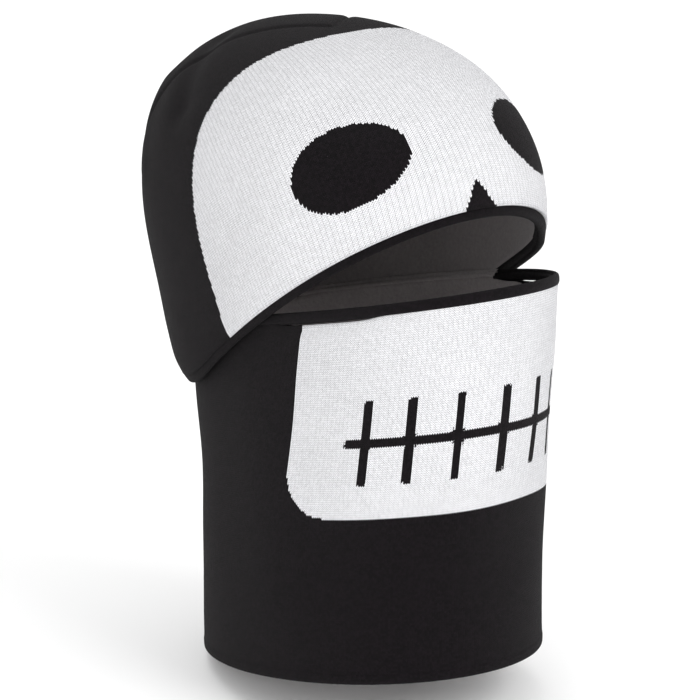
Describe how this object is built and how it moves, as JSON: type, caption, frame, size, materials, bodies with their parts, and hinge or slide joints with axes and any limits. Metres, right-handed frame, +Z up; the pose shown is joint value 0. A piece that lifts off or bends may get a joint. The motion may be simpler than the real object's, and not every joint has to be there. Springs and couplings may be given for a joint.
{
  "type": "balaclava",
  "caption": "Hinged knitted balaclava: a hood that tips back at the nape over a neck tube whose patterned front pulls down off the face.",
  "frame": {"origin": "centre of the neck opening, level with the lowest point of the hem at the back of the neck", "axes": "+Z up along the wearer's neck, -Y the way the wearer faces, +X the wearer's left"},
  "size_m": [0.154, 0.2343, 0.2849],
  "materials": {
    "jacquard_knit": "fine two-colour jacquard knit, black and off-white, matt",
    "rim_knit": "black rolled knit edge, matt",
    "fleece_lining": "dark grey brushed fleece",
    "seam_thread": "black polyester sewing thread",
    "seam_tape": "black woven seam tape",
    "label_cloth": "plain off-white satin label, blank"
  },
  "bodies": {
    "neck": {"neck_shell": "jacquard_knit", "neck_lining": "fleece_lining", "neck_binding": "rim_knit", "neck_hem": "rim_knit", "neck_back_seam": "seam_thread", "nape_seam": "seam_tape", "nape_bartack_left": "seam_thread", "nape_bartack_right": "seam_thread", "care_label": "label_cloth"},
    "mask": {"mask_shell": "jacquard_knit", "mask_lining": "fleece_lining", "mask_binding": "rim_knit"},
    "hood": {"hood_shell": "jacquard_knit", "hood_lining": "fleece_lining", "hood_binding": "rim_knit", "crown_seam_front_left": "seam_thread", "crown_seam_front_right": "seam_thread", "crown_seam_back_left": "seam_thread", "crown_seam_back_right": "seam_thread", "hood_back_seam": "seam_thread"}
  },
  "joints": [
    {"name": "hood_tip_back", "type": "hinge", "parent": "neck", "child": "hood", "pos_m": [0, 0.1038, 0.1244], "axis": [-1, 0, 0], "range_deg": [0, 105]},
    {"name": "mask_pull_down", "type": "hinge", "parent": "neck", "child": "mask", "pos_m": [0, 0.015, 0.16], "axis": [1, 0, 0], "range_deg": [0, 35], "deforming": ["neck_shell", "neck_lining"]}
  ]
}
